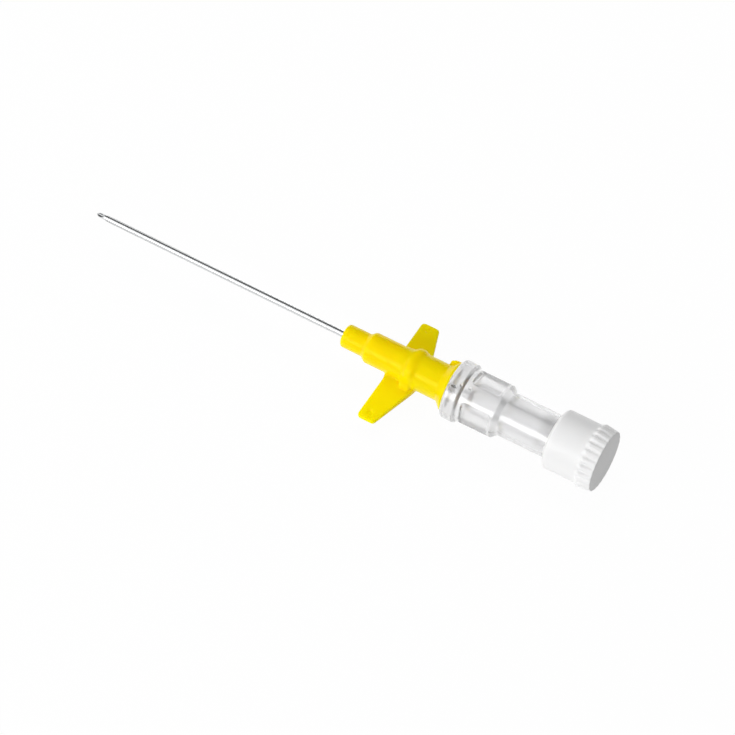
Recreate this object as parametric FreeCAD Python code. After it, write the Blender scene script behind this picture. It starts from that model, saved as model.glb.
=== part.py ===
import FreeCAD, Part
import math
import os

from FreeCAD import Vector

# IV cannula: a winged catheter over its introducer needle, with a clear flash chamber and a white cap.
# Millimetres. The bore axis is X, from the needle's point towards the cap. +Z is up, away from the wings.
# The origin is on the bore axis, in the middle of the nose stretch that a needle sheath grips.

# Needle
needle_outer_radius = 0.36
needle_bore_radius = 0.24
needle_exposed = 1.85
bevel_angle = 24.5
lancet_angle = 33.0
lancet_turn = 32.0

# Catheter tube
tube_length = 40.95
tube_wall = 0.165
tube_tip_radius = 0.46
tube_lip_radius = 0.425
tube_lip_length = 1.1
tube_taper_length = 28.0
needle_clearance = 0.04

# Crimp ferrule and the flared end of the tube that it locks
flare_length = 2.8
flare_rise = 0.5
flare_start = 4.85
ferrule_wall = 0.14
ferrule_overhang = 0.35
seat_clearance = 0.02

# Catheter hub: nose, barrel and rear barrel
nose_length = 3.7
nose_radius = 1.82
nose_rounding = 0.42
shoulder_length = 0.75
barrel_front_radius = 2.42
barrel_length = 4.5
rear_barrel_radius = 2.84
rear_barrel_start = 12.85
hub_length = 18.35

# Luer cone shared by hub, needle hub and cap: 6 percent on the diameter
luer_taper = 0.03
luer_mouth_radius = 2.14
luer_depth = 8.0
luer_clearance = 0.04
luer_shoulder_length = 1.2

# Coned rear flange and the lug that runs forward from it on the far side
flange_radius = 3.9
flange_length = 0.45
flange_ramp = 1.15
lug_radius = 3.85
lug_front_radius = 3.5
lug_length = 2.1
lug_ramp = 0.75
lug_half_angle = 37.0
lug_rounding = 0.3

# Wings
wing_half_span = 9.95
wing_front = 8.21
wing_sweep = 0.44
wing_tip_chord = 2.85
wing_root_chord = 4.86
wing_root_thickness = 1.15
wing_tip_thickness = 0.62
wing_root_height = -1.75
wing_tip_height = -2.9
wing_corner_radius = 0.6
wing_root_flare = 0.7
wing_flare_reach = 2.9
wing_edge_chamfer = 0.11
wing_pip_radius = 0.45
wing_pip_depth = 0.1
wing_pip_offset = 8.7
wing_pip_setback = 1.14

# Saddle that bridges the two wings over the barrel
saddle_centre = 11.7
saddle_length = 1.95
saddle_half_width = 3.4
saddle_crown_half_width = 2.75
saddle_crown_rounding = 2.3
saddle_height = 2.95
saddle_rounding = 0.6

# Needle hub: collar, grip and flash chamber, moulded in one clear piece
needle_hub_turn = 31.0
collar_radius = 4.63
collar_length = 2.4
collar_overlap = 0.35
collar_recess_clearance = 0.2
collar_gap = 0.17
collar_chamfer = 0.22
collar_front_chamfer = 0.12
male_cone_reach = 7.4
grip_radius = 4.15
grip_length = 6.0
grip_rear_ramp = 0.8
grip_front_ramp = 0.35
finger_flat_distance = 3.35
finger_flat_angle = 57.0
finger_flat_margin_front = 0.95
finger_flat_margin_rear = 0.4
finger_flat_rounding = 0.4
mark_radius = 0.55
mark_depth = 0.35
chamber_radius = 3.39
chamber_end_gap = 0.25
needle_socket_end = 21.15
flash_bore_radius = 1.5
core_cone_length = 1.0

# Vent filter
filter_radius = 1.84
filter_length = 1.8
filter_to_cone_gap = 0.5

# Luer cap
cap_front = 34.65
cap_length = 8.7
cap_radius = 4.65
cap_front_radius = 3.65
cap_front_ramp = 0.75
cap_bore_radius = 4.0
cap_clearance = 0.1
cap_lip_length = 0.8
cap_wall = 1.3
cap_cone_length = 6.6
grip_rib_count = 25
grip_rib_length = 2.75
grip_rib_radius = 5.0
grip_rib_rear_radius = 4.75
grip_rib_width = 0.84
grip_rib_ramp = 0.7
grip_rib_chamfer = 0.12

# Stations along the bore axis that follow from the sizes above
nose_front = -nose_length / 2
hub_rear = nose_front + hub_length
luer_end = hub_rear - luer_depth
luer_end_radius = luer_mouth_radius - luer_taper * luer_depth
tube_front = nose_front - tube_length
tube_bore_radius = needle_outer_radius + needle_clearance
tube_root_radius = tube_bore_radius + tube_wall
flare_front = nose_front + flare_start
flare_rear = flare_front + flare_length
flare_bore_radius = tube_bore_radius + flare_rise
needle_tip = tube_front - needle_exposed
collar_front = hub_rear - collar_overlap
collar_rear = collar_front + collar_length
recess_floor = hub_rear + collar_gap
grip_rear = collar_rear + grip_length
socket_rear = nose_front + needle_socket_end
cap_nose = nose_front + cap_front
cap_rear = cap_nose + cap_length
chamber_rear = cap_rear - cap_wall - chamber_end_gap
cap_cone_front = chamber_rear - cap_cone_length
filter_rear = cap_cone_front - filter_to_cone_gap
filter_front = filter_rear - filter_length

AXIS = Vector(1, 0, 0)
ORIGIN = Vector(0, 0, 0)


def turned(points, angle=360.0):
    """Solid swept about the bore axis by a closed outline of (x, radius) points."""
    corners = [Vector(x, 0, radius) for x, radius in points]
    outline = Part.makePolygon(corners + corners[:1])
    return Part.Face(outline).revolve(ORIGIN, AXIS, angle)


def spun(shape, degrees):
    """Copy of a shape turned about the bore axis."""
    copy = shape.copy()
    copy.rotate(ORIGIN, AXIS, degrees)
    return copy


def luer_radius(x, mouth, clearance):
    """Radius of the luer cone at station x, for a socket whose mouth is at the given station."""
    return luer_mouth_radius - clearance - luer_taper * (mouth - x)


def catheter_tube():
    """Soft tube: a slow taper to a thinned lip in front, and a flared end behind the ferrule."""
    lip_start = tube_front + tube_lip_length
    outer = turned([
        (tube_front, 0),
        (tube_front, tube_lip_radius),
        (lip_start, tube_tip_radius),
        (tube_front + tube_taper_length, tube_root_radius),
        (flare_front, tube_root_radius),
        (flare_rear, flare_bore_radius + tube_wall),
        (flare_rear, 0),
    ])
    bore = turned([
        (tube_front - 1, 0),
        (tube_front - 1, tube_bore_radius),
        (flare_front, tube_bore_radius),
        (flare_rear, flare_bore_radius),
        (flare_rear + 1, flare_bore_radius),
        (flare_rear + 1, 0),
    ])
    return outer.cut(bore)


def crimp_ferrule():
    """Metal eyelet driven into the flared tube, with a rolled lip at its wide end."""
    slope = flare_rise / flare_length
    front = flare_front + ferrule_overhang
    front_radius = tube_bore_radius + slope * ferrule_overhang - seat_clearance
    rear = flare_rear + ferrule_overhang
    rear_radius = flare_bore_radius - seat_clearance
    lip_radius = flare_bore_radius + tube_wall
    lip_front = flare_rear + seat_clearance
    outer = turned([
        (front, 0),
        (front, front_radius),
        (flare_rear, rear_radius),
        (lip_front, rear_radius),
        (lip_front, lip_radius),
        (rear, lip_radius),
        (rear, 0),
    ])
    # The narrow end is trimmed where the wall would close in on the needle
    throat = tube_bore_radius + seat_clearance
    bore = turned([
        (front - 1, 0),
        (front - 1, throat),
        (front, throat),
        (front + ferrule_overhang, throat),
        (rear, rear_radius - ferrule_wall),
        (rear + 1, rear_radius - ferrule_wall),
        (rear + 1, 0),
    ])
    return outer.cut(bore)


def hub_barrel():
    """Nose, shoulder, barrel and rear flange as one turned body."""
    shoulder_front = nose_front + nose_length
    barrel_front = shoulder_front + shoulder_length
    barrel_rear = barrel_front + barrel_length
    rear_start = nose_front + rear_barrel_start
    flange_front = hub_rear - flange_length
    return turned([
        (nose_front, 0),
        (nose_front, nose_radius - nose_rounding),
        (nose_front + nose_rounding / 3, nose_radius - nose_rounding / 3),
        (nose_front + nose_rounding, nose_radius),
        (shoulder_front, nose_radius),
        (barrel_front, barrel_front_radius),
        (barrel_rear, barrel_front_radius),
        (rear_start, rear_barrel_radius),
        (flange_front - flange_ramp, rear_barrel_radius),
        (flange_front, flange_radius),
        (hub_rear, flange_radius),
        (hub_rear, 0),
    ])


def hub_bore():
    """Luer socket, its funnel, the ferrule's seat and the tube's passage through the nose."""
    seat_radius = flare_bore_radius + tube_wall + seat_clearance
    seat_rear = flare_rear + ferrule_overhang
    passage_radius = tube_root_radius + seat_clearance
    funnel_front = luer_end - luer_shoulder_length
    return turned([
        (nose_front - 1, 0),
        (nose_front - 1, passage_radius),
        (flare_front, passage_radius),
        (flare_rear, seat_radius),
        (max(seat_rear, funnel_front), seat_radius),
        (luer_end, luer_end_radius),
        (hub_rear, luer_mouth_radius),
        (hub_rear + 1, luer_mouth_radius),
        (hub_rear + 1, 0),
    ])


def wing_outline():
    """Plan of one wing as a closed face, with rounded tip corners and a root that flares both ways."""
    front = nose_front + wing_front
    tip_front = front - wing_sweep
    rear = front + wing_root_chord
    corners = [
        Vector(front - wing_root_flare, 0, 0),
        Vector(front, wing_flare_reach, 0),
        Vector(tip_front, wing_half_span, 0),
        Vector(tip_front + wing_tip_chord, wing_half_span, 0),
        Vector(rear, wing_flare_reach, 0),
        Vector(rear + wing_root_flare, 0, 0),
    ]
    roundings = [0, wing_flare_reach, wing_corner_radius, wing_corner_radius, wing_flare_reach, 0]
    return Part.Face(rounded_wire(corners, roundings))


def rounded_wire(corners, roundings):
    """Closed wire through the corners, with a tangent arc of its own radius at each."""
    starts = []
    middles = []
    ends = []
    count = len(corners)
    for index, corner in enumerate(corners):
        before = (corners[index - 1] - corner).normalize()
        after = (corners[(index + 1) % count] - corner).normalize()
        radius = roundings[index]
        half_turn = before.getAngle(after) / 2
        reach = radius / math.tan(half_turn)
        room = min((corners[index - 1] - corner).Length, (corners[(index + 1) % count] - corner).Length)
        reach = min(reach, 0.48 * room)
        radius = reach * math.tan(half_turn)
        starts.append(corner + before * reach)
        ends.append(corner + after * reach)
        bisector = (before + after).normalize()
        middles.append(corner + bisector * (radius / math.sin(half_turn) - radius))
    edges = []
    for index in range(count):
        if (ends[index] - starts[index]).Length > 1e-6:
            edges.append(Part.Arc(starts[index], middles[index], ends[index]).toShape())
        edges.append(Part.makeLine(ends[index], starts[(index + 1) % count]))
    return Part.Wire(edges)


def wing():
    """The far wing: its plan cut out of a slab that thins and droops towards the tip."""
    reach = wing_half_span + 1
    slope = (wing_tip_height - wing_root_height) / (wing_half_span - barrel_front_radius)
    thinning = (wing_tip_thickness - wing_root_thickness) / (wing_half_span - barrel_front_radius)

    def level(y, side):
        middle = wing_root_height + slope * (y - barrel_front_radius)
        half = (wing_root_thickness + thinning * (y - barrel_front_radius)) / 2
        return Vector(nose_front, y, middle + side * half)

    slab_outline = Part.makePolygon([
        level(0, -1), level(reach, -1), level(reach, 1), level(0, 1), level(0, -1),
    ])
    slab = Part.Face(slab_outline).extrude(AXIS * hub_length)
    plan = wing_outline()
    plan.translate(Vector(0, 0, -flange_radius * 2))
    blade = slab.common(plan.extrude(Vector(0, 0, flange_radius * 4)))
    outer_edges = [edge for edge in blade.Edges if is_wing_border(edge)]
    blade = blade.makeChamfer(wing_edge_chamfer, outer_edges)
    pip_centre = Vector(nose_front + wing_front + wing_pip_setback, wing_pip_offset, 0)
    pip_top = level(wing_pip_offset, 1).z
    pip = Part.makeCylinder(wing_pip_radius, 2, Vector(pip_centre.x, pip_centre.y, pip_top - wing_pip_depth))
    return blade.cut(pip)


def is_wing_border(edge):
    """True for the long top and bottom edges that run round the free border of a wing."""
    box = edge.BoundBox
    outside = box.YMax > wing_flare_reach
    upright = box.ZLength > 0.4 * wing_tip_thickness and box.XLength < 1e-3 and box.YLength < 1e-3
    return outside and not upright and box.YMin > 1e-3


def saddle():
    """Rounded arch over the barrel that ties the two wings together."""
    front = nose_front + saddle_centre - saddle_length / 2
    foot = wing_root_height
    corners = [
        Vector(front, -saddle_half_width, foot),
        Vector(front, -saddle_crown_half_width, saddle_height),
        Vector(front, saddle_crown_half_width, saddle_height),
        Vector(front, saddle_half_width, foot),
    ]
    arch = rounded_wire(corners, [0, saddle_crown_rounding, saddle_crown_rounding, 0])
    band = Part.Face(arch).extrude(AXIS * saddle_length)
    return band.makeFillet(saddle_rounding, [edge for edge in band.Edges if is_saddle_border(edge)])


def is_saddle_border(edge):
    """True for the front and rear borders of the arch, above its foot."""
    box = edge.BoundBox
    return box.XLength < 1e-3 and box.ZMax > wing_root_height + 1e-3


def lock_lug():
    """Lug of the luer lock, centred on +Y: a steep front, then a slight rise back to the flange."""
    lug_front = hub_rear - lug_length
    root = (luer_mouth_radius + rear_barrel_radius) / 2
    lug = turned([
        (lug_front, root),
        (lug_front, lug_front_radius),
        (lug_front + lug_ramp, lug_radius),
        (hub_rear - flange_length / 2, lug_radius),
        (hub_rear - flange_length / 2, root),
    ], 2 * lug_half_angle)
    sides = [edge for edge in lug.Edges if is_lug_corner(edge, lug_front)]
    lug = lug.makeFillet(lug_rounding, sides)
    # The sweep starts on +Z and runs towards -Y, so the lug is brought round to +Y
    return spun(lug, -90 - lug_half_angle)


def is_lug_corner(edge, lug_front):
    """True for the straight edges along the two ends of the lug's crown."""
    ends = [vertex.Point for vertex in edge.Vertexes]
    if len(ends) != 2 or edge.BoundBox.XLength < 1e-3:
        return False
    radii = [Vector(0, point.y, point.z).Length for point in ends]
    return min(radii) > lug_radius - 1e-3 and min(point.x for point in ends) > lug_front


def catheter_hub():
    """Winged hub with its flange and lock lug, moulded in one piece."""
    far_wing = wing()
    near_wing = far_wing.mirror(ORIGIN, Vector(0, 1, 0))
    body = hub_barrel().fuse([far_wing, near_wing, saddle(), lock_lug()])
    return body.removeSplitter().cut(hub_bore())


def needle():
    """Steel tube with a primary bevel and two lancet facets at its point."""
    length = socket_rear - needle_tip
    rod = Part.makeCylinder(needle_outer_radius, length, Vector(needle_tip, 0, 0), AXIS)
    bore = Part.makeCylinder(needle_bore_radius, length + 2, Vector(needle_tip - 1, 0, 0), AXIS)
    tube = rod.cut(bore)
    tube = tube.cut(bevel_block(bevel_angle, 0.0))
    for side in (-1, 1):
        tube = tube.cut(bevel_block(lancet_angle, side * lancet_turn))
    return spun(tube, needle_hub_turn)


def bevel_block(angle, turn):
    """Block above a plane through the needle's point that leans back, turned about the bore axis."""
    size = 12 * needle_outer_radius
    depth = needle_outer_radius * math.cos(math.radians(turn))
    block = Part.makeBox(2 * size, 2 * size, size, Vector(-size, -size, 0))
    block.rotate(ORIGIN, Vector(0, 1, 0), -angle)
    block.translate(Vector(needle_tip, 0, -depth))
    return spun(block, turn)


def needle_hub_body():
    """Male luer cone, collar, grip and chamber as one turned body."""
    cone_front = hub_rear - male_cone_reach
    ramp_end = collar_rear + grip_front_ramp
    chamber_start = grip_rear + grip_rear_ramp
    return turned([
        (cone_front, 0),
        (cone_front, luer_radius(cone_front, hub_rear, luer_clearance)),
        (recess_floor, luer_radius(recess_floor, hub_rear, luer_clearance)),
        (recess_floor, flange_radius + collar_recess_clearance),
        (collar_front, flange_radius + collar_recess_clearance),
        (collar_front, collar_radius - collar_front_chamfer),
        (collar_front + collar_front_chamfer, collar_radius),
        (collar_rear - collar_chamfer, collar_radius),
        (collar_rear, collar_radius - collar_chamfer),
        (ramp_end, grip_radius),
        (grip_rear, grip_radius),
        (chamber_start, chamber_radius),
        (chamber_rear, chamber_radius),
        (chamber_rear, 0),
    ])


def needle_hub_bore():
    """Needle socket, flash chamber, filter seat and rear luer socket."""
    seat_radius = filter_radius + seat_clearance
    socket_front = cap_cone_front - filter_to_cone_gap
    return turned([
        (nose_front, 0),
        (nose_front, needle_outer_radius + seat_clearance),
        (socket_rear, needle_outer_radius + seat_clearance),
        (socket_rear + core_cone_length, flash_bore_radius),
        (filter_front, flash_bore_radius),
        (filter_front, seat_radius),
        (socket_front, seat_radius),
        (socket_front, luer_radius(socket_front, chamber_rear, 0)),
        (chamber_rear, luer_mouth_radius),
        (chamber_rear + 1, luer_mouth_radius),
        (chamber_rear + 1, 0),
    ])


def finger_flat():
    """Cutter for one finger flat, lying over the top of the grip."""
    front = collar_rear + finger_flat_margin_front
    rear = grip_rear - finger_flat_margin_rear
    width = 4 * grip_radius
    block = Part.makeBox(rear - front, width, grip_radius,
                         Vector(front, -width / 2, finger_flat_distance))
    corners = [edge for edge in block.Edges if is_flat_end(edge)]
    return block.makeFillet(finger_flat_rounding, corners)


def is_flat_end(edge):
    """True for the two lower cross edges of a finger flat's cutter."""
    box = edge.BoundBox
    return box.YLength > grip_radius and box.ZMax < finger_flat_distance + 1e-3


def bevel_mark():
    """Cutter for the round pit in the collar that shows which way the bevel faces."""
    middle = (collar_front + collar_rear) / 2
    floor = collar_radius - mark_depth
    return Part.makeCylinder(mark_radius, 1, Vector(middle, 0, floor))


def needle_hub():
    """Clear needle hub with two finger flats and the bevel mark, turned as photographed."""
    body = needle_hub_body().cut(needle_hub_bore())
    for side in (-1, 1):
        body = body.cut(spun(finger_flat(), side * finger_flat_angle))
    return spun(body.cut(bevel_mark()), needle_hub_turn)


def vent_filter():
    """Porous disc that lets air out of the flash chamber."""
    return Part.makeCylinder(filter_radius, filter_length, Vector(filter_front, 0, 0), AXIS)


def cap_shell():
    """Skirt with its guiding lip, end wall and the closed luer cone inside."""
    inner_rear = cap_rear - cap_wall
    skirt = turned([
        (cap_nose, 0),
        (cap_nose, cap_front_radius),
        (cap_nose + cap_front_ramp, cap_radius),
        (cap_rear, cap_radius),
        (cap_rear, 0),
    ])
    hollow = turned([
        (cap_nose - 1, 0),
        (cap_nose - 1, chamber_radius + cap_clearance),
        (cap_nose + cap_lip_length, chamber_radius + cap_clearance),
        (cap_nose + cap_lip_length, cap_bore_radius),
        (inner_rear, cap_bore_radius),
        (inner_rear, 0),
    ])
    cone = turned([
        (cap_cone_front, 0),
        (cap_cone_front, luer_radius(cap_cone_front, chamber_rear, luer_clearance)),
        (inner_rear, luer_radius(inner_rear, chamber_rear, luer_clearance)),
        (inner_rear, 0),
    ])
    return skirt.cut(hollow).fuse(cone)


def cap_rib():
    """One grip rib of the cap's rear band: a ramp in front, then a crown that falls towards the rear."""
    start = cap_rear - grip_rib_length
    width = math.degrees(grip_rib_width / grip_rib_radius)
    root = cap_radius - cap_clearance
    rib = turned([
        (start, root),
        (start, cap_radius),
        (start + grip_rib_ramp, grip_rib_radius),
        (cap_rear, grip_rib_rear_radius),
        (cap_rear, root),
    ], width)
    crown = [edge for edge in rib.Edges if is_rib_crown(edge)]
    return rib.makeChamfer(grip_rib_chamfer, crown)


def is_rib_crown(edge):
    """True for the two long edges along the top of a rib."""
    radii = [Vector(0, vertex.Y, vertex.Z).Length for vertex in edge.Vertexes]
    return min(radii) > grip_rib_rear_radius - 1e-3 and edge.BoundBox.XLength > grip_rib_ramp


def luer_cap():
    """White cap with a ribbed grip band."""
    rib = cap_rib()
    step = 360.0 / grip_rib_count
    ribs = [spun(rib, step * index) for index in range(grip_rib_count)]
    return cap_shell().fuse(ribs).removeSplitter()


def save(name, shape):
    """Write one sub-part as a STEP file."""
    shape.exportStep(os.path.join("parts", name + ".step"))


os.makedirs("parts", exist_ok=True)
save("catheter_tube", catheter_tube())
save("crimp_ferrule", crimp_ferrule())
save("catheter_hub", catheter_hub())
save("needle", needle())
save("needle_hub", needle_hub())
save("vent_filter", vent_filter())
save("luer_cap", luer_cap())
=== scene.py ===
"""Studio scene of a winged IV cannula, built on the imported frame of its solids.

Sizes are written in millimetres along the bore axis X and radially from it, with +Z up, as in
the solids. Angles round the bore axis run from +Y towards +Z, in degrees. Meshes are turned into
metres when they are made.
"""

from __future__ import annotations

import logging
import math
from dataclasses import dataclass, field
from enum import Enum
from typing import Callable, Iterable, Mapping, Optional, Sequence, Union

import bmesh
import bpy
from mathutils import Matrix, Vector


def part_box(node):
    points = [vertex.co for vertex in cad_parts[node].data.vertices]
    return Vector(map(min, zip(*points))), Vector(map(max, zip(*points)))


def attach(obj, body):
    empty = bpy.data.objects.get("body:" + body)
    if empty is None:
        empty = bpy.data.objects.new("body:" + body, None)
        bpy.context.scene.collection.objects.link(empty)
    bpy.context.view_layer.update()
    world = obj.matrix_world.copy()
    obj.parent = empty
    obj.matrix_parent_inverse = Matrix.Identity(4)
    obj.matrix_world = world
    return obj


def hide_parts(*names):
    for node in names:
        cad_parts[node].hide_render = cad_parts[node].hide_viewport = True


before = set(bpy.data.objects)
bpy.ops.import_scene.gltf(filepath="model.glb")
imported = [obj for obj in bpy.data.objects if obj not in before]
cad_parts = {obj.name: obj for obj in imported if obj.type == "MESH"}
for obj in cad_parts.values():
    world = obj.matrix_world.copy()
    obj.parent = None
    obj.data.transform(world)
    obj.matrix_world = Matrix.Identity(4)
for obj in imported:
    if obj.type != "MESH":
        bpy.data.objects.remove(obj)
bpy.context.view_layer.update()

LOG = logging.getLogger("iv_cannula")
MM = 0.001
AXIS_RADIUS = 1e-6
RADIUS_MATCH = 1e-4
OUT_OF_REACH = 99.0
TURNED_SHARP_DEGREES = 40.0
SOLID_SHARP_DEGREES = 30.0
SHEET_CORNERS = ((-1, -1), (1, -1), (1, 1), (-1, 1))

Colour = tuple[float, float, float]
Warp = Callable[[float, float, float], tuple[float, float]]
Plain = Union[int, float, Colour, Vector]


def smooth_ramp(value: float, low: float, high: float) -> float:
    """Ease from 0 at low to 1 at high.

    Args:
        value: Number to place on the ramp.
        low: Where the ramp leaves 0.
        high: Where the ramp reaches 1.

    Returns:
        The eased number between 0 and 1.
    """
    share = min(max((value - low) / (high - low), 0.0), 1.0)
    return share * share * (3.0 - 2.0 * share)


def dimmed(colour: Colour, share: float) -> Colour:
    """Colour at a share of its level."""
    red, green, blue = colour
    return red * share, green * share, blue * share


def run_of(node: str) -> tuple[float, float]:
    """Where a solid starts and ends along the bore axis.

    Args:
        node: Name of the solid.

    Returns:
        Its lowest and highest X in millimetres.
    """
    low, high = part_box(node)
    return low[0] / MM, high[0] / MM


def radius_of(node: str) -> float:
    """Largest radius of a round solid, in millimetres."""
    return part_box(node)[1][2] / MM


def add_object(name: str, data: bpy.types.ID) -> bpy.types.Object:
    """Put data into the scene as a new object.

    Args:
        name: Name of the object.
        data: Mesh, light or camera.

    Returns:
        The object.
    """
    made = bpy.data.objects.new(name, data)
    bpy.context.scene.collection.objects.link(made)
    return made


class Slot(Enum):
    """Record slots of the pieces that stand for solids."""

    YELLOW = "yellow_plastic"
    TUBE = "tube_plastic"
    CLEAR = "clear_plastic"
    WHITE = "white_plastic"


class Body(Enum):
    """Moving bodies of the frame."""

    CATHETER = "catheter"
    NEEDLE_UNIT = "needle_unit"
    CAP = "cap"


class Channel:
    """One output of a shader node, which can be used in Python sums."""

    def __init__(self, graph: Graph, socket: bpy.types.NodeSocket) -> None:
        """Wrap a socket.

        Args:
            graph: Graph that the socket belongs to.
            socket: Output socket of one of its nodes.
        """
        self.graph = graph
        self.socket = socket

    @property
    def kind(self) -> str:
        """Socket type: VALUE, RGBA or VECTOR."""
        return self.socket.type

    def sibling(self, name: str) -> Channel:
        """Another output of the same node, by its name."""
        return Channel(self.graph, self.socket.node.outputs[name])

    def __add__(self, other: Operand) -> Channel:
        """Sum."""
        return self.graph.combine("ADD", self, other)

    def __radd__(self, other: Operand) -> Channel:
        """Sum with the channel on the right."""
        return self.graph.combine("ADD", other, self)

    def __sub__(self, other: Operand) -> Channel:
        """Difference."""
        return self.graph.combine("SUBTRACT", self, other)

    def __rsub__(self, other: Operand) -> Channel:
        """Difference with the channel on the right."""
        return self.graph.combine("SUBTRACT", other, self)

    def __mul__(self, other: Operand) -> Channel:
        """Product."""
        return self.graph.combine("MULTIPLY", self, other)

    def __rmul__(self, other: Operand) -> Channel:
        """Product with the channel on the right."""
        return self.graph.combine("MULTIPLY", other, self)

    def __truediv__(self, other: Operand) -> Channel:
        """Quotient."""
        return self.graph.combine("DIVIDE", self, other)

    def __rtruediv__(self, other: Operand) -> Channel:
        """Quotient with the channel on the right."""
        return self.graph.combine("DIVIDE", other, self)

    def __pow__(self, other: Operand) -> Channel:
        """Power."""
        return self.graph.combine("POWER", self, other)

    def ramp(self, low: float, high: float) -> Channel:
        """Ease from 0 at low to 1 at high.

        Args:
            low: Value that gives 0.
            high: Value that gives 1.

        Returns:
            The eased value.
        """
        settings = {"interpolation_type": "SMOOTHSTEP", "clamp": True}
        values = {"Value": self, "From Min": low, "From Max": high}
        return self.graph.node("ShaderNodeMapRange", settings, values, "Result")

    def blend(self, first: Operand, second: Operand) -> Channel:
        """Colour that goes from first to second as this value goes from 0 to 1.

        Args:
            first: Colour at 0.
            second: Colour at 1.

        Returns:
            The blended colour.
        """
        values = {"Factor_Float": self, "A_Color": first, "B_Color": second}
        return self.graph.node("ShaderNodeMix", {"data_type": "RGBA"}, values, "Result_Color")


Operand = Union[Channel, Plain]


class Graph:
    """Shader graph of one material or world, with the few calls that the finishes need."""

    def __init__(self, owner: Union[bpy.types.Material, bpy.types.World]) -> None:
        """Start an empty graph.

        Args:
            owner: Material or world whose nodes are cleared and built anew.
        """
        owner.use_nodes = True
        self.tree = owner.node_tree
        self.tree.nodes.clear()
        world = isinstance(owner, bpy.types.World)
        self.output_kind = "ShaderNodeOutputWorld" if world else "ShaderNodeOutputMaterial"

    @staticmethod
    def _find(sockets: Iterable[bpy.types.NodeSocket], key: str) -> bpy.types.NodeSocket:
        """Socket with the given identifier, or else the shown one with that name.

        Args:
            sockets: Inputs or outputs of a node.
            key: Identifier or name.

        Returns:
            The socket.
        """
        choices = list(sockets)
        for socket in choices:
            if socket.identifier == key:
                return socket
        return next(socket for socket in choices if socket.name == key and socket.enabled)

    def node(self, kind: str, settings: Mapping[str, object], values: Mapping[str, Operand],
             output: str = "") -> Channel:
        """Add any node.

        Args:
            kind: Node type.
            settings: Node properties, set before the sockets.
            values: Links or plain values of the sockets.
            output: Output that is wanted, or the first one if empty.

        Returns:
            The wanted output.
        """
        made = self.tree.nodes.new(kind)
        for name, value in settings.items():
            setattr(made, name, value)
        for key, value in values.items():
            socket = self._find(made.inputs, key)
            if isinstance(value, Channel):
                self.tree.links.new(value.socket, socket)
            elif socket.type == "RGBA" and not isinstance(value, (int, float)):
                socket.default_value = (*value, 1.0)
            else:
                socket.default_value = value
        return Channel(self, self._find(made.outputs, output) if output else made.outputs[0])

    @staticmethod
    def _kind_of(value: Operand) -> str:
        """Kind of an operand.

        Args:
            value: Channel or plain value.

        Returns:
            VALUE, RGBA or VECTOR.
        """
        if isinstance(value, Channel):
            return value.kind
        if isinstance(value, Vector):
            return "VECTOR"
        return "RGBA" if isinstance(value, tuple) else "VALUE"

    def combine(self, operation: str, first: Operand, second: Operand) -> Channel:
        """Join two operands by arithmetic, with the node that suits their kind.

        Args:
            operation: Name of the operation.
            first: Left operand.
            second: Right operand.

        Returns:
            The result.
        """
        kinds = {self._kind_of(first), self._kind_of(second)}
        if kinds == {"VALUE"}:
            values = {"Value": first, "Value_001": second}
            return self.node("ShaderNodeMath", {"operation": operation}, values)
        left, right = ((value,) * 3 if isinstance(value, (int, float)) else value
                       for value in (first, second))
        if "VECTOR" in kinds:
            values = {"Vector": left, "Vector_001": right}
            return self.node("ShaderNodeVectorMath", {"operation": operation}, values, "Vector")
        settings = {"data_type": "RGBA", "blend_type": operation}
        values = {"Factor_Float": 1.0, "A_Color": left, "B_Color": right}
        return self.node("ShaderNodeMix", settings, values, "Result_Color")

    def place(self) -> Channel:
        """Position on the piece in millimetres, in the frame of the solids."""
        position = self.node("ShaderNodeTexCoord", {}, {}, "Object")
        return self.node("ShaderNodeVectorMath", {"operation": "SCALE"},
                         {"Vector": position, "Scale": 1.0 / MM}, "Vector")

    def split(self, vector: Channel) -> tuple[Channel, Channel, Channel]:
        """Components of a vector.

        Args:
            vector: Vector channel.

        Returns:
            X, Y and Z.
        """
        first = self.node("ShaderNodeSeparateXYZ", {}, {"Vector": vector}, "X")
        return first, first.sibling("Y"), first.sibling("Z")

    def noise(self, where: Channel, stretch: Colour, detail: float = 3.0,
              rough: float = 0.5) -> Channel:
        """Soft noise between 0 and 1.

        Args:
            where: Position in millimetres.
            stretch: Waves per millimetre along X, Y and Z.
            detail: Octaves.
            rough: Weight of the finer octaves.

        Returns:
            The noise value.
        """
        scaled = where * Vector(stretch)
        values = {"Vector": scaled, "Scale": 1.0, "Detail": detail, "Roughness": rough}
        return self.node("ShaderNodeTexNoise", {}, values, "Fac")

    def distance(self, where: Channel, centre: Colour,
                 squash: Colour = (1.0, 1.0, 1.0)) -> Channel:
        """Distance from a point.

        Args:
            where: Position in millimetres.
            centre: Point in millimetres.
            squash: Weight of each axis.

        Returns:
            Distance in millimetres.
        """
        offset = (where - Vector(centre)) * Vector(squash)
        settings = {"operation": "LENGTH"}
        return self.node("ShaderNodeVectorMath", settings, {"Vector": offset}, "Value")

    def bump(self, height: Channel, depth: float, strength: float = 1.0) -> Channel:
        """Surface normal from a height.

        Args:
            height: Height between 0 and 1.
            depth: Height of 1 in millimetres.
            strength: Share of the effect.

        Returns:
            The normal.
        """
        values = {"Height": height, "Distance": depth * MM, "Strength": strength}
        return self.node("ShaderNodeBump", {}, values, "Normal")

    def surface(self, values: Mapping[str, Operand]) -> None:
        """Join a principled surface with these socket values to the output."""
        self.finish(self.node("ShaderNodeBsdfPrincipled", {}, values))

    def mix_shaders(self, factor: Operand, first: Channel, second: Channel) -> None:
        """Join a mix of two shaders to the output.

        Args:
            factor: Share of the second shader.
            first: Shader at 0.
            second: Shader at 1.
        """
        values = {"Fac": factor, "Shader": first, "Shader_001": second}
        self.finish(self.node("ShaderNodeMixShader", {}, values))

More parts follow.
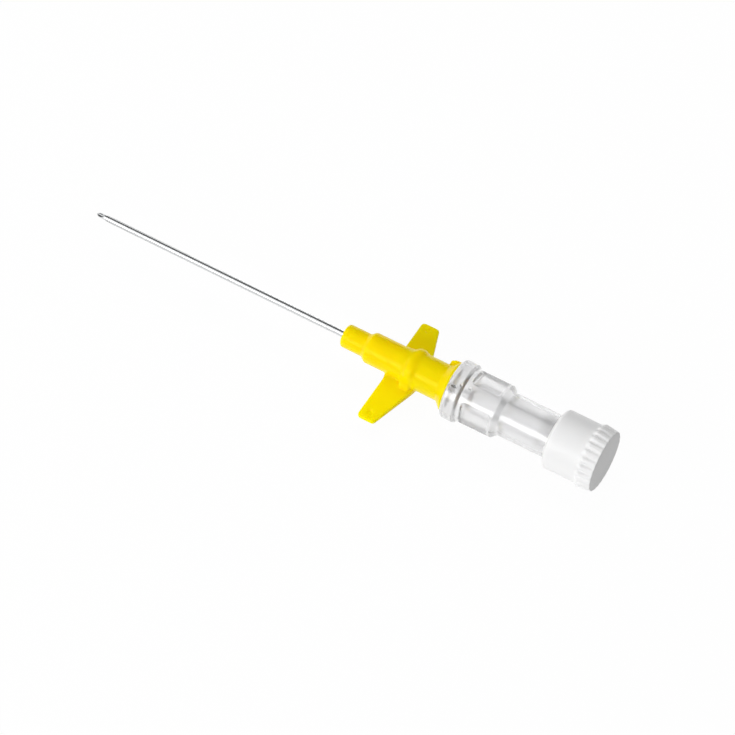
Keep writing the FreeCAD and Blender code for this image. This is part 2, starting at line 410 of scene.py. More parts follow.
    def finish(self, shader: Channel) -> None:
        """Join a shader to the output."""
        output = self.tree.nodes.new(self.output_kind)
        self.tree.links.new(shader.socket, output.inputs["Surface"])


@dataclass(frozen=True)
class Finish:
    """Base of the finishes: a named material with a colour and a roughness."""

    name: str
    colour: Colour
    roughness: float

    def paint(self, graph: Graph) -> None:
        """Fill the graph of this finish.

        Args:
            graph: Empty graph of the material.
        """
        raise NotImplementedError

    def material(self) -> bpy.types.Material:
        """Make the material once, and share it after that.

        Returns:
            The material.
        """
        made = bpy.data.materials.get(self.name)
        if made is None:
            made = bpy.data.materials.new(self.name)
            self.paint(Graph(made))
        return made


@dataclass(frozen=True)
class YellowMoulding(Finish):
    """Glossy yellow plastic of the winged hub, with the moulded pips on its wing tips."""

    pip_centres: tuple[Colour, ...] = ()
    pip_radius: float = 0.45
    pip_depth: float = 2.4

    def paint(self, graph: Graph) -> None:
        """Warm yellow, deeper orange towards the top as painted shade and in soft random clouds,
        with a faint mould grain.

        Args:
            graph: Empty graph of the material.
        """
        where = graph.place()
        _, _, height = graph.split(where)
        cloud = graph.noise(where, (0.35, 0.35, 0.35), 2.0)
        # Painted shade: the colour turns deeper orange towards the top of the hub, mixed with soft
        # random clouds.
        depth = (height * 0.09 + cloud * 0.5 + 0.1).ramp(0.0, 1.0)
        red, green, blue = self.colour
        lighter_yellow = (red * 0.985, green * 1.04, blue * 1.3)
        colour = depth.blend(lighter_yellow, (red, green * 0.93, blue * 0.8))
        grain = graph.noise(where, (9.0, 9.0, 9.0), 4.0, 0.6)
        flow = graph.noise(where, (0.5, 3.0, 3.0), 2.0)
        relief = grain * 0.35 + flow * 0.15
        for centre in self.pip_centres:
            reach = graph.distance(where, centre)
            ring = reach.ramp(self.pip_radius - 0.12, self.pip_radius + 0.04)
            relief = relief + ring * self.pip_depth
        rough = grain * 0.12 + (self.roughness - 0.06)
        graph.surface({
            "Base Color": colour, "Roughness": rough, "Normal": graph.bump(relief, 0.02, 0.7),
            "IOR": 1.47, "Specular IOR Level": 0.25, "Specular Tint": (1.0, 0.82, 0.15),
            "Subsurface Weight": 0.8, "Subsurface Radius": (1.0, 0.8, 0.08),
            "Subsurface Scale": 1.6 * MM,
        })


@dataclass(frozen=True)
class TubeMoulding(Finish):
    """Clear plastic of the catheter tube."""

    def paint(self, graph: Graph) -> None:
        """Smooth plastic with faint extrusion streaks along the tube and a slight haze.

        Args:
            graph: Empty graph of the material.
        """
        where = graph.place()
        streak = graph.noise(where, (0.15, 6.0, 6.0), 3.0)
        haze = graph.noise(where, (0.4, 2.0, 2.0), 2.0)
        tint = haze.blend(self.colour, dimmed(self.colour, 0.965))
        graph.surface({
            "Base Color": tint, "Roughness": streak * 0.03 + (self.roughness - 0.015),
            "Normal": graph.bump(streak, 0.0005, 0.3), "IOR": 1.35, "Transmission Weight": 1.0,
        })


@dataclass(frozen=True)
class DrawnSteel(Finish):
    """Drawn stainless steel with fine lines along the bore axis."""

    bore_edge: tuple[float, float] = (0.245, 0.29)
    bore_painted_shade: float = 0.3

    def paint(self, graph: Graph) -> None:
        """Fine lengthwise drawing lines in the roughness and relief, and painted shade inside the
        bore.

        Args:
            graph: Empty graph of the material.
        """
        where = graph.place()
        lines = graph.noise(where, (0.25, 16.0, 16.0), 4.0, 0.65)
        patch = graph.noise(where, (0.5, 1.2, 1.2), 2.0)
        from_axis = graph.distance(where, (0.0, 0.0, 0.0), (0.0, 1.0, 1.0))
        # Painted shade: the steel darkens inside the bore, near the axis.
        outside = from_axis.ramp(*self.bore_edge)
        tint = patch.blend(self.colour, dimmed(self.colour, 0.9))
        tint = outside.blend(dimmed(self.colour, self.bore_painted_shade), tint)
        graph.surface({
            "Base Color": tint, "Metallic": 1.0,
            "Roughness": lines * 0.08 + (self.roughness - 0.04),
            "Normal": graph.bump(lines, 0.0006, 0.6),
        })


@dataclass(frozen=True)
class ClearMoulding(Finish):
    """Clear moulded plastic of the needle hub, with painted shade on the upper wall of its round
    pit.
    """

    pit_shade_centre: Colour = (0.0, 0.0, 0.0)
    pit_squash: Colour = (0.6, 1.1, 1.1)
    pit_edge: tuple[float, float] = (0.22, 0.36)
    pit_painted_shade: float = 0.12

    def paint(self, graph: Graph) -> None:
        """Plastic with a faint flow relief, and painted shade on the upper wall of the pit.

        Args:
            graph: Empty graph of the material.
        """
        where = graph.place()
        flow = graph.noise(where, (0.35, 0.9, 0.9), 2.0)
        grain = graph.noise(where, (7.0, 7.0, 7.0), 3.0)
        tint = flow.blend(self.colour, dimmed(self.colour, 0.985))
        # Painted shade: the base colour darkens round a point on the pit's upper wall.
        lit = graph.distance(where, self.pit_shade_centre, self.pit_squash).ramp(*self.pit_edge)
        tint = lit.blend(dimmed(self.colour, self.pit_painted_shade), tint)
        graph.surface({
            "Base Color": tint, "Roughness": grain * 0.04 + (self.roughness - 0.02),
            "Normal": graph.bump(flow * 0.8 + grain * 0.05, 0.03, 0.5),
            "IOR": 1.42, "Transmission Weight": 0.7,
            "Coat Weight": 1.0, "Coat Roughness": 0.05,
        })


@dataclass(frozen=True)
class SinteredPlastic(Finish):
    """Porous plastic of the vent filter."""

    def paint(self, graph: Graph) -> None:
        """Fused grains with painted shade in the pores between them.

        Args:
            graph: Empty graph of the material.
        """
        where = graph.place()
        values = {"Vector": where, "Scale": 7.0}
        grains = graph.node("ShaderNodeTexVoronoi", {"feature": "F1"}, values, "Distance")
        # Painted shade: the colour darkens in the pores between the grains; the same mask also
        # roughens them.
        pore_shade_mask = grains.ramp(0.35, 0.75)
        tint = pore_shade_mask.blend(self.colour, dimmed(self.colour, 0.72))
        graph.surface({
            "Base Color": tint, "Roughness": pore_shade_mask * 0.08 + self.roughness,
            "Normal": graph.bump(1.0 - grains, 0.05, 0.8),
        })


@dataclass(frozen=True)
class WhiteMoulding(Finish):
    """Satin white plastic of the cap."""

    def paint(self, graph: Graph) -> None:
        """White plastic with mould grain and a slight cloudiness.

        Args:
            graph: Empty graph of the material.
        """
        where = graph.place()
        grain = graph.noise(where, (6.0, 6.0, 6.0), 4.0, 0.6)
        cloud = graph.noise(where, (0.3, 0.3, 0.3), 2.0)
        tint = cloud.blend(self.colour, dimmed(self.colour, 0.97))
        graph.surface({
            "Base Color": tint, "Roughness": grain * 0.14 + (self.roughness - 0.07),
            "Normal": graph.bump(grain, 0.012, 0.5), "IOR": 1.47, "Specular IOR Level": 0.4,
            "Subsurface Weight": 0.15, "Subsurface Radius": (1.0, 0.95, 0.9),
            "Subsurface Scale": 0.5 * MM,
        })


@dataclass(frozen=True)
class Corner:
    """Corner of a turned outline, with its rounding and the spacing of rings on the next run."""

    x: float
    radius: float
    rounding: float = 0.0
    spacing: float = 1.5


@dataclass
class Turning:
    """Mesh turned about the bore axis from an outline that closes on itself or ends on the axis."""

    corners: Sequence[Corner]
    closed: bool
    sides: int = 128
    warp: Optional[Warp] = None
    arc_steps: int = 5

    def _rounded(self, index: int) -> list[Vector]:
        """Points that stand for one corner once it is rounded.

        Args:
            index: Number of the corner.

        Returns:
            One point, or the points of its arc.
        """
        count = len(self.corners)
        here = self.corners[index]
        spot = Vector((here.x, here.radius))
        inside = self.closed or 0 < index < count - 1
        if here.rounding <= 0.0 or not inside:
            return [spot]
        before = self.corners[index - 1]
        after = self.corners[(index + 1) % count]
        back = (Vector((before.x, before.radius)) - spot).normalized()
        ahead = (Vector((after.x, after.radius)) - spot).normalized()
        half = back.angle(ahead) / 2.0
        reach = here.rounding / math.tan(half)
        centre = spot + (back + ahead).normalized() * (here.rounding / math.sin(half))
        start = spot + back * reach - centre
        end = spot + ahead * reach - centre
        sweep = math.atan2(start.x * end.y - start.y * end.x, start.dot(end))
        steps = range(self.arc_steps + 1)
        turns = [Matrix.Rotation(sweep * step / self.arc_steps, 2) for step in steps]
        return [centre + turn @ start for turn in turns]

    def outline(self) -> list[tuple[float, float]]:
        """Rounded outline with its long runs divided.

        Returns:
            Points as x and radius.
        """
        groups = [self._rounded(index) for index in range(len(self.corners))]
        points: list[tuple[float, float]] = []
        count = len(groups)
        for index, group in enumerate(groups):
            points.extend((point.x, point.y) for point in group)
            if index == count - 1 and not self.closed:
                break
            start = group[-1]
            end = groups[(index + 1) % count][0]
            pieces = max(1, math.ceil((end - start).length / self.corners[index].spacing))
            for piece in range(1, pieces):
                between = start.lerp(end, piece / pieces)
                points.append((between.x, between.y))
        return points

    def mesh(self, name: str) -> bpy.types.Mesh:
        """Turn the outline.

        Args:
            name: Name of the mesh.

        Returns:
            The mesh, in metres.
        """
        work = bmesh.new()
        rings = []
        for x, radius in self.outline():
            if radius < AXIS_RADIUS:
                rings.append([work.verts.new((x * MM, 0.0, 0.0))])
                continue
            ring = []
            for side in range(self.sides):
                angle = 360.0 * side / self.sides
                along, out = self.warp(x, radius, angle) if self.warp else (x, radius)
                turn = math.radians(angle)
                spot = (along, out * math.cos(turn), out * math.sin(turn))
                ring.append(work.verts.new([part * MM for part in spot]))
            rings.append(ring)
        pairs = list(zip(rings, rings[1:]))
        if self.closed:
            pairs.append((rings[-1], rings[0]))
        for first, second in pairs:
            self._bridge(work, first, second)
        bmesh.ops.recalc_face_normals(work, faces=work.faces)
        return to_mesh(work, name)

    def _bridge(self, work: bmesh.types.BMesh, first: list, second: list) -> None:
        """Join two rings by faces.

        Args:
            work: Mesh under construction.
            first: Vertices of one ring, or a single one on the axis.
            second: Vertices of the next ring, or a single one on the axis.
        """
        for side in range(self.sides):
            following = (side + 1) % self.sides
            if len(first) == 1:
                corners = [first[0], second[following], second[side]]
            elif len(second) == 1:
                corners = [first[side], first[following], second[0]]
            else:
                corners = [first[side], first[following], second[following], second[side]]
            work.faces.new(corners)


def smooth_over(mesh: bpy.types.Mesh, sharp_degrees: float) -> None:
    """Shade a mesh smooth, but for edges that turn by more than the given angle."""
    mesh.shade_smooth()
    mesh.set_sharp_from_angle(angle=math.radians(sharp_degrees))


def to_mesh(work: bmesh.types.BMesh, name: str) -> bpy.types.Mesh:
    """Finish a bmesh as a smooth mesh with sharp corners kept.

    Args:
        work: Mesh under construction, freed here.
        name: Name of the mesh.

    Returns:
        The mesh.
    """
    mesh = bpy.data.meshes.new(name)
    work.to_mesh(mesh)
    work.free()
    smooth_over(mesh, TURNED_SHARP_DEGREES)
    return mesh


def flat_sheet(name: str, spots: Sequence[Sequence[float]]) -> bpy.types.Object:
    """Add a single flat face.

    Args:
        name: Name of the sheet.
        spots: Its corners in order, in metres.

    Returns:
        The sheet.
    """
    work = bmesh.new()
    work.faces.new([work.verts.new(spot) for spot in spots])
    return add_object(name, to_mesh(work, name))


def dress(name: str, mesh: bpy.types.Mesh, finish: Finish, body: Body,
          nodes: Sequence[str]) -> bpy.types.Object:
    """Put a mesh into the scene as a piece that stands for its solids.

    Args:
        name: Name of the piece.
        mesh: Its mesh, in metres.
        finish: Its finish.
        body: Body that carries it.
        nodes: Solids that it replaces.

    Returns:
        The piece.
    """
    piece = add_object(name, mesh)
    mesh.materials.clear()
    mesh.materials.append(finish.material())
    steady = piece.modifiers.new("even_normals", "WEIGHTED_NORMAL")
    steady.keep_sharp = True
    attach(piece, body.value)
    if nodes:
        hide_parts(*nodes)
    LOG.info("%s: %d faces", name, len(mesh.polygons))
    return piece


def dress_solid(node: str, finish: Finish) -> None:
    """Give a solid that stays in view its finish and smooth shading.

    Args:
        node: Name of the solid.
        finish: Its finish.
    """
    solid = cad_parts[node]
    smooth_over(solid.data, SOLID_SHARP_DEGREES)
    solid.data.materials.clear()
    solid.data.materials.append(finish.material())
    LOG.info("%s: solid kept, %d faces", node, len(solid.data.polygons))


@dataclass
class Catheter:
    """Winged hub with its tube, and the ferrule that holds the tube."""

    yellow: Finish
    plastic: Finish
    steel: Finish
    lip_length: float = 1.1
    lip_radius: float = 0.425
    tip_radius: float = 0.46
    taper_length: float = 28.0
    root_radius: float = 0.565
    bore_radius: float = 0.345
    flare_length: float = 2.8
    wall: float = 0.165
    hub_voxel: float = 0.11
    hub_smoothing: int = 9
    smoothing_factor: float = 0.5
    saddle_run: tuple[float, float] = (8.5, 11.3)
    saddle_front: tuple[float, float] = (8.95, 9.6)
    saddle_foot: float = -0.8
    saddle_foot_ramp: float = 0.6
    saddle_rise: tuple[float, float] = (-0.3, 1.3)
    saddle_low_share: float = 0.4
    saddle_added_share: float = 0.5
    saddle_reach: float = 3.9
    saddle_smoothing: int = 30
    barrel_radius: float = 2.7

    def hub_mesh(self) -> bpy.types.Mesh:
        """Hub with the soft inner and outer corners of a moulding.

        Returns:
            The mesh, made from a copy of the solid that is remeshed finely and eased.
        """
        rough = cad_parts["catheter_hub"].data.copy()
        rough.transform(Matrix.Scale(1.0 / MM, 4))
        stand_in = add_object("hub_stand_in", rough)
        remesh = stand_in.modifiers.new("remesh", "REMESH")
        remesh.mode = "VOXEL"
        remesh.voxel_size = self.hub_voxel
        ease = stand_in.modifiers.new("ease", "SMOOTH")
        ease.factor = self.smoothing_factor
        ease.iterations = self.hub_smoothing
        shown = stand_in.evaluated_get(bpy.context.evaluated_depsgraph_get())
        mesh = bpy.data.meshes.new_from_object(shown)
        bpy.data.objects.remove(stand_in)
        bpy.data.meshes.remove(rough)
        self.soften_saddle(mesh)
        mesh.transform(Matrix.Scale(MM, 4))
        mesh.name = "winged_hub"
        mesh.shade_smooth()
        return mesh

    def soften_saddle(self, mesh: bpy.types.Mesh) -> None:
        """Lower the saddle between the wings a little and blend it into the barrel.

        Args:
            mesh: Hub in millimetres, eased here.
        """
        work = bmesh.new()
        work.from_mesh(mesh)
        low, high = self.saddle_run
        foot_top = self.saddle_foot + self.saddle_foot_ramp
        crest = [spot for spot in work.verts if low < spot.co.x < high
                 and spot.co.z > self.saddle_foot and abs(spot.co.y) < self.saddle_reach]
        for spot in crest:
            away = math.hypot(spot.co.y, spot.co.z)
            if away > self.barrel_radius:
                rise = smooth_ramp(spot.co.z, *self.saddle_rise)
                kept = smooth_ramp(spot.co.x, *self.saddle_front)
                kept *= self.saddle_low_share + self.saddle_added_share * rise
                kept = 1.0 - (1.0 - kept) * smooth_ramp(spot.co.z, self.saddle_foot, foot_top)
                scale = (self.barrel_radius + (away - self.barrel_radius) * kept) / away
                spot.co.y *= scale
                spot.co.z *= scale
        for _ in range(self.saddle_smoothing):
            bmesh.ops.smooth_vert(work, verts=crest, factor=self.smoothing_factor,
                                  use_axis_x=True, use_axis_y=True, use_axis_z=True)
        work.to_mesh(mesh)
        work.free()

    def tube_mesh(self) -> bpy.types.Mesh:
        """Tube with its thinned lip and flared end.

        Returns:
            The mesh.
        """
        front, rear = run_of("catheter_tube")
        flare_front = rear - self.flare_length
        flare_radius = radius_of("catheter_tube")
        corners = [
            Corner(front, self.bore_radius),
            Corner(front, self.lip_radius, 0.01, 0.2),
            Corner(front + self.lip_length, self.tip_radius, 0.5),
            Corner(front + self.taper_length, self.root_radius),
            Corner(flare_front, self.root_radius, 0.3, 0.3),
            Corner(rear, flare_radius, 0.05),
            Corner(rear, flare_radius - self.wall, 0.05, 0.3),
            Corner(flare_front, self.bore_radius, 0.3),
        ]
        return Turning(corners, closed=True, sides=72).mesh("catheter_sleeve")

    def build(self) -> None:
        """Make and dress the catheter's pieces."""
        dress("winged_hub", self.hub_mesh(), self.yellow,
              Body.CATHETER, ["catheter_hub"])
        dress("catheter_sleeve", self.tube_mesh(), self.plastic,
              Body.CATHETER, ["catheter_tube"])
        dress_solid("crimp_ferrule", self.steel)


@dataclass(frozen=True)
class Pit:
    """Shallow round pit in the needle hub, placed behind the front of its collar."""

    setback: float
    angle: float
    radius: float
    depth: float


@dataclass
class NeedleUnit:
    """Clear needle hub with collar, grip and flash chamber, its needle and its vent filter."""

    clear: Finish
    steel: Finish
    sintered: Finish
    turn: float = 121.0
    mouth_radius: float = 2.1
    taper: float = 0.03
    collar_overlap: float = 0.05
    collar_length: float = 2.1
    collar_gap: float = 0.17
    recess_clearance: float = 0.2
    grip_length: float = 6.0
    grip_radius: float = 4.15
    grip_front_ramp: float = 0.35
    grip_rear_ramp: float = 0.8
    chamber_radius: float = 3.39
    seat_clearance: float = 0.02
    core_cone: float = 1.0
    flash_radius: float = 1.5
    socket_mouth: float = 2.14
    flat_distance: float = 3.35
    flat_half_turn: float = 57.0
    flat_front_margin: float = 0.95
    flat_rear_margin: float = 0.4
    flat_rounding: float = 0.4
    flat_least_cosine: float = 0.3
    warp_clearance: float = 0.2
    warp_setback: float = 0.25
    pit_edge: float = 0.07
    pits: tuple[Pit, ...] = (
        Pit(1.06, 126.4, 0.6, 0.4),
        Pit(2.0, 113.5, 0.16, 0.12),
        Pit(3.22, 110.5, 0.2, 0.15),
    )

    def __post_init__(self) -> None:
        """Work out the stations along the bore axis from the solids."""
        self.cone_front, self.chamber_rear = run_of("needle_hub")
        self.filter_front, self.filter_rear = run_of("vent_filter")
        self.hub_rear = run_of("catheter_hub")[1]
        self.socket_rear = run_of("needle")[1]
        self.collar_front = self.hub_rear - self.collar_overlap
        self.collar_rear = self.collar_front + self.collar_length
        self.recess_floor = self.hub_rear + self.collar_gap
        self.grip_rear = self.collar_rear + self.grip_length

    def flat_limit(self, x: float, angle: float) -> float:
        """Distance from the bore axis at which a finger flat cuts the grip.

        Args:
            x: Station along the bore axis.
            angle: Angle round it.

        Returns:
            The distance, or one out of reach clear of the flats.
        """
        front = self.collar_rear + self.flat_front_margin
        margin = min(x - front, self.grip_rear - self.flat_rear_margin - x)
        if margin <= 0.0:
            return OUT_OF_REACH
        lift = 0.0
        if margin < self.flat_rounding:
            span = self.flat_rounding - margin
            lift = self.flat_rounding - math.sqrt(self.flat_rounding ** 2 - span ** 2)
        nearest = OUT_OF_REACH
        for side in (-1.0, 1.0):
            off = math.radians(angle - self.turn - side * self.flat_half_turn)
            if math.cos(off) > self.flat_least_cosine:
                nearest = min(nearest, (self.flat_distance + lift) / math.cos(off))
        return nearest

    def warp(self, x: float, radius: float, angle: float) -> tuple[float, float]:
        """Cut the finger flats and pits into the turned hub.

        Args:
            x: Station along the bore axis.
            radius: Radius before the cut.
            angle: Angle round the bore axis.

        Returns:
            Station and radius after the cut.
        """
        inside = radius < self.chamber_radius + self.warp_clearance
        if inside or x < self.collar_front + self.warp_setback:
            return x, radius
        radius = min(radius, self.flat_limit(x, angle)) if x > self.collar_rear else radius
        for pit in self.pits:
            around = math.radians((angle - pit.angle + 180.0) % 360.0 - 180.0) * radius
            away = math.hypot(x - self.collar_front - pit.setback, around)
            rim = smooth_ramp(away, pit.radius - self.pit_edge, pit.radius + self.pit_edge)
            radius -= pit.depth * (1.0 - rim)
        return x, radius

    def hub_mesh(self) -> bpy.types.Mesh:
        """Needle hub from its luer cone to the end of the flash chamber.

        Returns:
            The mesh.
        """
        cone_rear_radius = self.mouth_radius + self.taper * (self.recess_floor - self.hub_rear)
        cone_front_radius = self.mouth_radius - self.taper * (self.hub_rear - self.cone_front)
        socket_depth = self.chamber_rear - self.filter_rear
        socket_front_radius = self.socket_mouth - self.taper * socket_depth
        recess_radius = radius_of("catheter_hub") + self.recess_clearance
        collar_radius = radius_of("needle_hub")
        filter_radius = radius_of("vent_filter") + self.seat_clearance
        needle_radius = radius_of("needle") + self.seat_clearance
        corners = [
            Corner(self.cone_front, needle_radius, 0.05),
            Corner(self.cone_front, cone_front_radius, 0.15),
            Corner(self.recess_floor, cone_rear_radius, 0.12, 0.6),
            Corner(self.recess_floor, recess_radius, 0.12, 0.6),
            Corner(self.collar_front, recess_radius, 0.08, 0.6),
            Corner(self.collar_front, collar_radius, 0.4, 0.08),
            Corner(self.collar_rear, collar_radius, 0.42, 0.3),
            Corner(self.collar_rear + self.grip_front_ramp, self.grip_radius, 0.12, 0.1),
            Corner(self.grip_rear, self.grip_radius, 0.25, 0.3),
            Corner(self.grip_rear + self.grip_rear_ramp, self.chamber_radius, 0.3),
            Corner(self.chamber_rear, self.chamber_radius, 0.12, 0.6),
            Corner(self.chamber_rear, self.socket_mouth, 0.12),
            Corner(self.filter_rear, socket_front_radius, 0.03, 0.6),
            Corner(self.filter_rear, filter_radius, 0.01, 0.6),
            Corner(self.filter_front, filter_radius, 0.05, 0.6),
            Corner(self.filter_front, self.flash_radius, 0.05),
            Corner(self.socket_rear + self.core_cone, self.flash_radius, 0.3, 0.4),
            Corner(self.socket_rear, needle_radius, 0.05),
        ]
        return Turning(corners, closed=True, sides=256, warp=self.warp).mesh("clear_needle_hub")

    def build(self) -> None:
        """Make and dress the needle unit's pieces."""
        dress("clear_needle_hub", self.hub_mesh(), self.clear,
              Body.NEEDLE_UNIT, ["needle_hub"])
        dress_solid("needle", self.steel)
        dress_solid("vent_filter", self.sintered)


@dataclass
class Cap:
    """White luer cap with its ribbed grip band and the thread inside its skirt."""

    white: Finish
    radius: float = 4.65
    nose_radius: float = 3.65
    nose_ramp: float = 0.45
    lip_radius: float = 3.49
    lip_length: float = 0.8
    bore_radius: float = 4.0
    wall: float = 1.3
    cone_setback: float = 0.5
    cone_mouth: float = 2.1
    taper: float = 0.03
    rib_count: int = 25
    rib_length: float = 2.75
    rib_radius: float = 4.99
    rib_rear_radius: float = 4.74
    rib_ramp: float = 0.7
    rib_share: float = 0.6
    rib_softness: float = 0.35
    rim_depth: tuple[float, float] = (0.5, 0.1)
    first_rib: float = 94.74
    nose_setback: float = 0.35
    thread_pitch: float = 2.5
    thread_height: float = 0.42
    thread_front_fade: tuple[float, float] = (1.2, 2.0)
    thread_rear_fade: tuple[float, float] = (2.2, 1.4)
    thread_flank: tuple[float, float] = (0.08, 0.17)

    def __post_init__(self) -> None:
        """Work out the stations along the bore axis from the solids."""
        self.nose, self.rear = run_of("luer_cap")
        self.nose += self.nose_setback
        self.chamber_rear = run_of("needle_hub")[1]
        self.cone_front = run_of("vent_filter")[1] + self.cone_setback

    def rib_height(self, angle: float) -> float:
        """Height of the ribs round the cap.

        Args:
            angle: Angle round the bore axis.

        Returns:
            0 in a groove and 1 on a rib.
        """
        pitch = 360.0 / self.rib_count
        off = abs((angle - self.first_rib + pitch / 2.0) % pitch - pitch / 2.0) / (pitch / 2.0)
        low, high = self.rib_share - self.rib_softness, self.rib_share + self.rib_softness
        return 1.0 - smooth_ramp(off, low, high)

    def thread_crest(self, x: float, angle: float) -> float:
        """Height of the thread inside the skirt.

        Args:
            x: Station along the bore axis.
            angle: Angle round it.

        Returns:
            Height above the bore in millimetres.
        """
        turn = (x - self.nose) / self.thread_pitch - angle / 360.0
        off = abs(turn % 1.0 - 0.5)
        fade_in = [self.nose + reach for reach in self.thread_front_fade]
        fade_out = [self.rear - self.wall - reach for reach in self.thread_rear_fade]
        fade = smooth_ramp(x, *fade_in) * (1.0 - smooth_ramp(x, *fade_out))
        return self.thread_height * fade * (1.0 - smooth_ramp(off, *self.thread_flank))

    def warp(self, x: float, radius: float, angle: float) -> tuple[float, float]:
        """Raise the ribs outside and the thread inside.

        Args:
            x: Station along the bore axis.
            radius: Radius before the change.
            angle: Angle round the bore axis.

        Returns:
            Station and radius after the change.
        """
        start = self.rear - self.rib_length
        rim_inside, rim_outside = (self.radius - depth for depth in self.rim_depth)
        if radius > rim_inside and x > start:
            ramp_end = start + self.rib_ramp
            share = smooth_ramp(x, start, ramp_end) * smooth_ramp(radius, rim_inside, rim_outside)
            behind = max(0.0, (x - ramp_end) / (self.rear - ramp_end))
            fall = behind * (self.rib_radius - self.rib_rear_radius)
            rise = (self.rib_radius - fall - self.radius) * share
            return x, radius + rise * self.rib_height(angle)
        if abs(radius - self.bore_radius) < RADIUS_MATCH:
            return x, radius - self.thread_crest(x, angle)
        return x, radius

    def mesh(self) -> bpy.types.Mesh:
        """Cap as one closed turning.

        Returns:
            The mesh.
        """
        inner = self.rear - self.wall
        rib_start = self.rear - self.rib_length
        cone_root = self.cone_mouth - self.taper * (self.chamber_rear - inner)
        cone_tip = self.cone_mouth - self.taper * (self.chamber_rear - self.cone_front)
        corners = [
            Corner(self.rear, 0.0),
            Corner(self.rear, self.radius, 0.08, 0.15),
            Corner(rib_start, self.radius, 0.0, 0.6),
            Corner(self.nose + self.nose_ramp, self.radius, 0.5),
            Corner(self.nose, self.nose_radius, 0.12),
            Corner(self.nose, self.lip_radius, 0.1),
            Corner(self.nose + self.lip_length, self.lip_radius, 0.06),
            Corner(self.nose + self.lip_length, self.bore_radius, 0.0, 0.12),
            Corner(inner, self.bore_radius, 0.0),
            Corner(inner, cone_root, 0.15, 0.8),
            Corner(self.cone_front, cone_tip, 0.2),
            Corner(self.cone_front, 0.0),
        ]
        return Turning(corners, closed=False, sides=400, warp=self.warp).mesh("ribbed_cap")

    def build(self) -> None:
        """Make and dress the cap."""
        dress("ribbed_cap", self.mesh(), self.white, Body.CAP, ["luer_cap"])


def facing(direction: Colour) -> tuple[Vector, Vector, Vector]:
    """Axes of something flat that faces the object.

    Args:
        direction: Way from the object to it.

    Returns:
        Its side, its rise and the way from the object to it, each one unit long.
    """
    away = Vector(direction).normalized()
    side = (Vector((1.0, 0.0, 0.0)) - away * away.x).normalized()
    return side, away.cross(side), away


@dataclass(frozen=True)
class SoftLight:
    """Rectangular studio light that faces the object."""

    name: str
    direction: Colour
    distance: float
    size: tuple[float, float]
    level: float
    mirrored: bool = True

    def build(self, aim: Vector) -> None:
        """Add the light.

        Args:
            aim: Point that it faces, in metres.
        """
        data = bpy.data.lights.new(self.name, "AREA")
        data.shape = "RECTANGLE"
        data.size, data.size_y = self.size
        data.energy = self.level * (math.pi * self.distance) ** 2
        lamp = add_object(self.name, data)
        axes = facing(self.direction)
        spot = Matrix.Translation(aim + axes[2] * self.distance)
        lamp.matrix_world = spot @ Matrix(axes).transposed().to_4x4()
        lamp.visible_glossy = self.mirrored
        lamp.visible_transmission = self.mirrored


@dataclass(frozen=True)
class DarkCard:
    """Dark card that shows in gloss and clear plastic, and may also hold light off the object."""

    name: str
    direction: Colour
    distance: float
    size: tuple[float, float]
    shade: float
    blocks_light: bool = False

    def build(self, aim: Vector) -> None:
        """Add the card.

        Args:
            aim: Point that it faces, in metres.
        """
        side, rise, away = facing(self.direction)
        across, upward = side * (self.size[0] / 2.0), rise * (self.size[1] / 2.0)
        centre = aim + away * self.distance
        spots = [centre + across * right + upward * up for right, up in SHEET_CORNERS]
        card = flat_sheet(self.name, spots)
        card.data.materials.append(self.material())
        card.visible_camera = False
        card.visible_diffuse = self.blocks_light
        card.visible_shadow = self.blocks_light

    def material(self) -> bpy.types.Material:
        """Make a plain glow at the card's shade.

        Returns:
            The material.
        """
        made = bpy.data.materials.new(self.name)
        graph = Graph(made)
        values = {"Color": (self.shade,) * 3, "Strength": 1.0}
        graph.finish(graph.node("ShaderNodeEmission", {}, values))
        return made


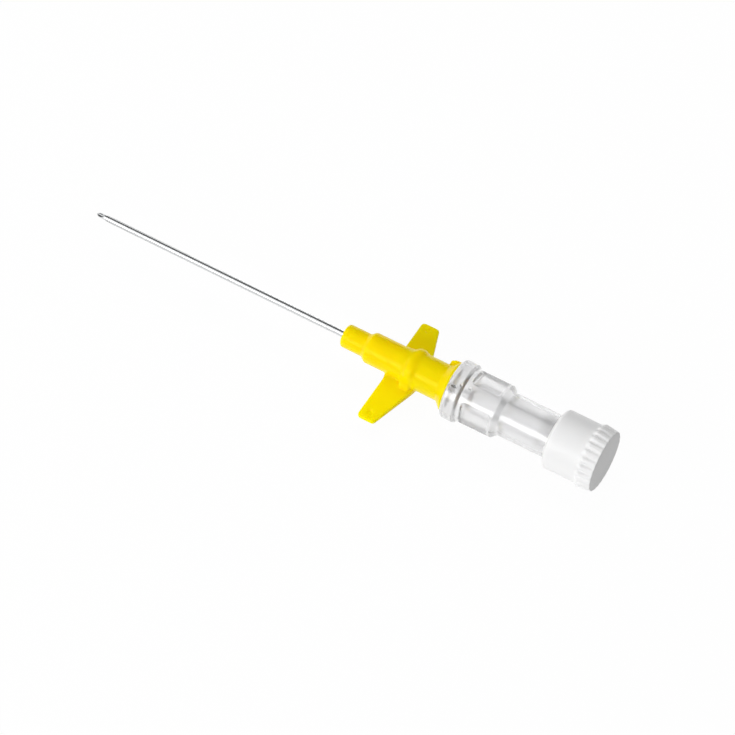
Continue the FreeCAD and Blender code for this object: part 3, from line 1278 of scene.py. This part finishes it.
@dataclass
class Studio:
    """Pale floor, soft light, dark cards and the camera."""

    floor_height: float = -5.1
    floor_half: float = 3.0
    floor_white: float = 0.9
    floor_glow: float = 0.97
    world_level: float = 0.3
    image_side: int = 735
    camera_aim: Colour = (4.265, -4.1, 1.0)
    camera_distance: float = 700.0
    camera_azimuth: float = -64.23
    camera_elevation: float = 53.48
    camera_roll: float = 4.93
    focal_pixels: float = 4802.0
    sensor: float = 36.0
    clip_range: tuple[float, float] = (0.05, 20.0)
    aim: Vector = field(default_factory=lambda: Vector((0.004, 0.0, 0.0)))
    lights: tuple[SoftLight, ...] = (
        SoftLight("key_window", (-0.26, -0.875, 0.408), 0.8, (0.9, 0.32), 0.84),
        SoftLight("far_fill", (-0.25, 0.46, 0.85), 0.8, (0.7, 0.5), 0.5, mirrored=False),
    )
    cards: tuple[DarkCard, ...] = (
        DarkCard("far_card", (-0.1, 0.7, 0.71), 0.9, (2.0, 1.15), 0.06),
        DarkCard("rear_flag", (0.99, 0.05, 0.1), 0.11, (0.12, 0.22), 0.06, blocks_light=True),
    )

    def seen_directly(self, graph: Graph) -> Channel:
        """Mask that is 1 where the camera, gloss or clear plastic looks at a surface.

        Args:
            graph: Graph that gets the mask.

        Returns:
            The mask.
        """
        camera = graph.node("ShaderNodeLightPath", {}, {}, "Is Camera Ray")
        glossy, through = camera.sibling("Is Glossy Ray"), camera.sibling("Is Transmission Ray")
        return (camera + glossy + through).ramp(0.0, 1.0)

    def build_floor(self) -> None:
        """Add the pale floor, which keeps a faint shadow."""
        half, level = self.floor_half, self.floor_height * MM
        spots = [(right * half, up * half, level) for right, up in SHEET_CORNERS]
        floor = flat_sheet("pale_floor", spots)
        made = bpy.data.materials.new("pale_floor")
        graph = Graph(made)
        lit = graph.node("ShaderNodeBsdfDiffuse", {}, {"Color": (self.floor_white,) * 3})
        glow = graph.node("ShaderNodeEmission", {}, {"Color": (1.0, 1.0, 1.0), "Strength": 1.0})
        graph.mix_shaders(self.seen_directly(graph) * self.floor_glow, lit, glow)
        floor.data.materials.append(made)

    def build_world(self) -> None:
        """Give the world a plain level for light and white where it is looked at."""
        world = bpy.data.worlds.new("studio_world")
        bpy.context.scene.world = world
        graph = Graph(world)
        soft, white = (
            graph.node("ShaderNodeBackground", {}, {"Color": (1.0, 1.0, 1.0), "Strength": level})
            for level in (self.world_level, 1.0)
        )
        graph.mix_shaders(self.seen_directly(graph), soft, white)

    def build_camera(self) -> None:
        """Place the camera where the photograph was taken from."""
        data = bpy.data.cameras.new("photo_camera")
        data.sensor_width = self.sensor
        data.lens = self.focal_pixels * self.sensor / self.image_side
        data.clip_start, data.clip_end = self.clip_range
        camera = add_object("photo_camera", data)
        turn = Matrix.Rotation(math.radians(self.camera_azimuth + 90.0), 4, "Z")
        tilt = Matrix.Rotation(math.radians(90.0 - self.camera_elevation), 4, "X")
        roll = Matrix.Rotation(math.radians(self.camera_roll), 4, "Z")
        back_off = Matrix.Translation((0.0, 0.0, self.camera_distance * MM))
        aim = Matrix.Translation(Vector(self.camera_aim) * MM)
        camera.matrix_world = aim @ turn @ tilt @ roll @ back_off
        bpy.context.scene.camera = camera

    def build(self) -> None:
        """Set up the whole studio."""
        self.build_world()
        self.build_floor()
        for light in self.lights:
            light.build(self.aim)
        for card in self.cards:
            card.build(self.aim)
        self.build_camera()
        bpy.context.scene.view_settings.view_transform = "Standard"


def main() -> None:
    """Build every piece, then the studio round it."""
    logging.basicConfig(level=logging.INFO, format="%(name)s %(message)s")
    pips = ((7.5, 8.7, -2.4), (7.5, -8.7, -2.4))
    yellow = YellowMoulding("yellow_moulding", (0.93, 0.7, 0.001), 0.22, pips)
    tube = TubeMoulding("tube_moulding", (0.985, 0.985, 0.985), 0.03)
    steel = DrawnSteel("drawn_steel", (0.72, 0.73, 0.74), 0.14)
    clear = ClearMoulding("clear_moulding", (0.95, 0.95, 0.955), 0.24, (17.48, -2.27, 3.77))
    sintered = SinteredPlastic("sintered_plastic", (0.93, 0.93, 0.92), 0.85)
    white = WhiteMoulding("white_moulding", (0.83, 0.83, 0.83), 0.4)
    Catheter(yellow, tube, steel).build()
    NeedleUnit(clear, steel, sintered).build()
    Cap(white).build()
    Studio().build()


if __name__ == "__main__":
    main()
